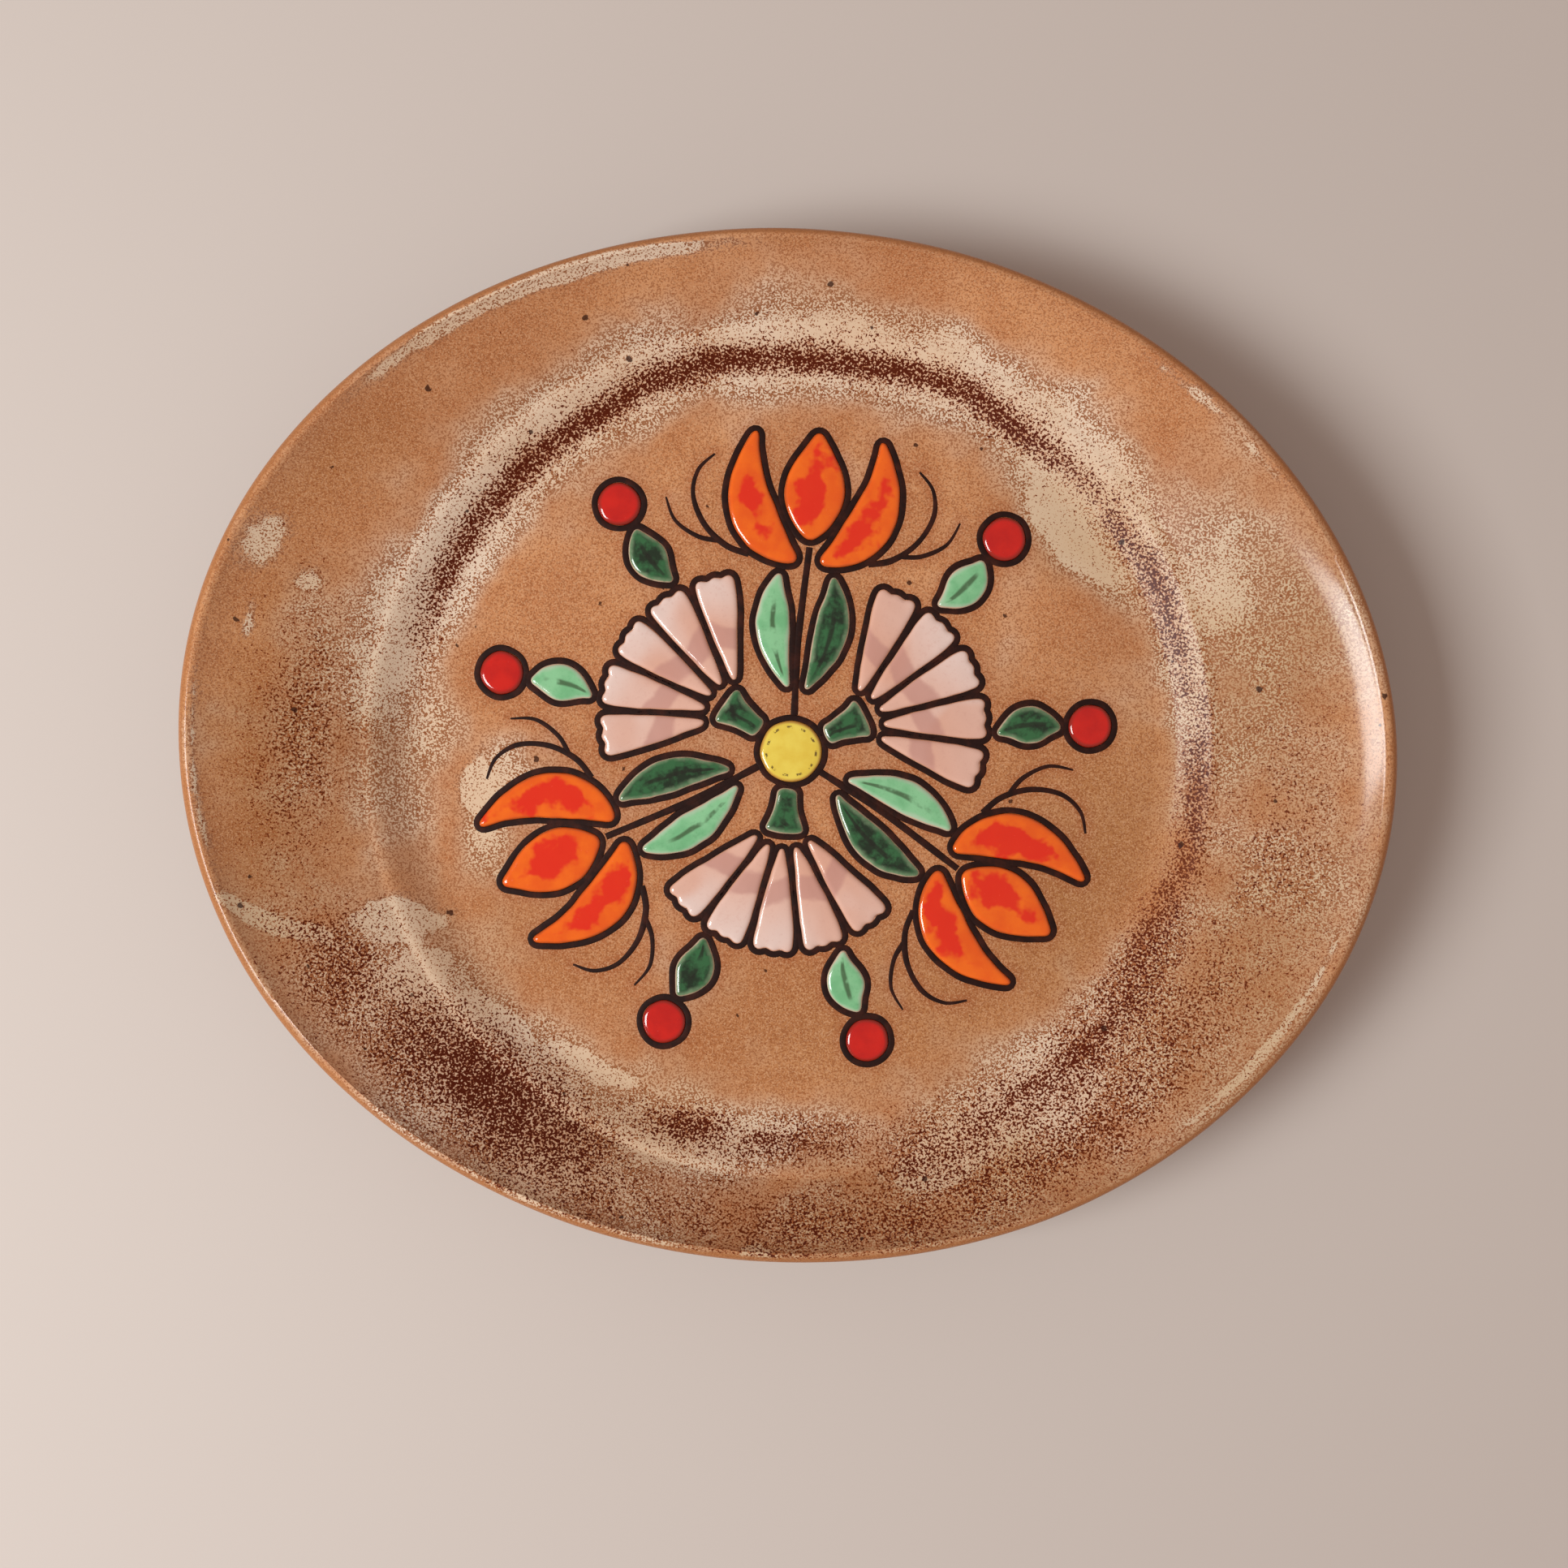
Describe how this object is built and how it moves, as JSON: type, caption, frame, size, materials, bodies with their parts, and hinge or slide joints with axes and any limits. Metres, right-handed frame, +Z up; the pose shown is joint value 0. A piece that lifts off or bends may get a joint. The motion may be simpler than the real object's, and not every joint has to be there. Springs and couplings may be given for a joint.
{
  "type": "ceramic wall plate",
  "caption": "Oval glazed stoneware dish with a round well, raised enamel flowers on its floor, and a wire bail in its foot ring for hanging it on a wall.",
  "frame": {"origin": "centre of the foot ring, on the plane that the plate stands on", "axes": "plate lying face up: +X along the long axis of the oval, +Y towards the side that hangs uppermost, +Z up out of the well"},
  "size_m": [0.27, 0.23, 0.033],
  "materials": {
    "stoneware_glaze": "satin gloss, cream and tan with dark iron speckle",
    "bail_wire": "galvanised, dull",
    "orange_enamel": "glossy, flushed red in places",
    "pink_enamel": "glossy, with a mauve band",
    "mint_enamel": "glossy, mottled",
    "bottle_green_enamel": "glossy, mottled",
    "yellow_enamel": "glossy",
    "red_enamel": "glossy"
  },
  "bodies": {
    "plate": {"plate_body": "stoneware_glaze", "pattern_heart": "yellow_enamel", "tulip_1_left_petal": "orange_enamel", "tulip_1_middle_petal": "orange_enamel", "tulip_1_right_petal": "orange_enamel", "carnation_1_cup": "bottle_green_enamel", "carnation_1_petal_1": "pink_enamel", "carnation_1_petal_2": "pink_enamel", "carnation_1_petal_3": "pink_enamel", "carnation_1_petal_4": "pink_enamel", "carnation_1_petal_5": "pink_enamel", "stem_leaf_1_left": "mint_enamel", "sprig_leaf_1_left": "bottle_green_enamel", "berry_1_left": "red_enamel", "stem_leaf_1_right": "bottle_green_enamel", "sprig_leaf_1_right": "mint_enamel", "berry_1_right": "red_enamel", "tulip_2_left_petal": "orange_enamel", "tulip_2_middle_petal": "orange_enamel", "tulip_2_right_petal": "orange_enamel", "carnation_2_cup": "bottle_green_enamel", "carnation_2_petal_1": "pink_enamel", "carnation_2_petal_2": "pink_enamel", "carnation_2_petal_3": "pink_enamel", "carnation_2_petal_4": "pink_enamel", "carnation_2_petal_5": "pink_enamel", "stem_leaf_2_left": "mint_enamel", "sprig_leaf_2_left": "bottle_green_enamel", "berry_2_left": "red_enamel", "stem_leaf_2_right": "bottle_green_enamel", "sprig_leaf_2_right": "mint_enamel", "berry_2_right": "red_enamel", "tulip_3_left_petal": "orange_enamel", "tulip_3_middle_petal": "orange_enamel", "tulip_3_right_petal": "orange_enamel", "carnation_3_cup": "bottle_green_enamel", "carnation_3_petal_1": "pink_enamel", "carnation_3_petal_2": "pink_enamel", "carnation_3_petal_3": "pink_enamel", "carnation_3_petal_4": "pink_enamel", "carnation_3_petal_5": "pink_enamel", "stem_leaf_3_left": "mint_enamel", "sprig_leaf_3_left": "bottle_green_enamel", "berry_3_left": "red_enamel", "stem_leaf_3_right": "bottle_green_enamel", "sprig_leaf_3_right": "mint_enamel", "berry_3_right": "red_enamel"},
    "bail": {"hanging_bail": "bail_wire"}
  },
  "joints": [
    {"name": "bail_swing", "type": "hinge", "parent": "plate", "child": "bail", "pos_m": [0, 0.04024, 0.0035], "axis": [-1, 0, 0], "range_deg": [-20, 180]}
  ]
}
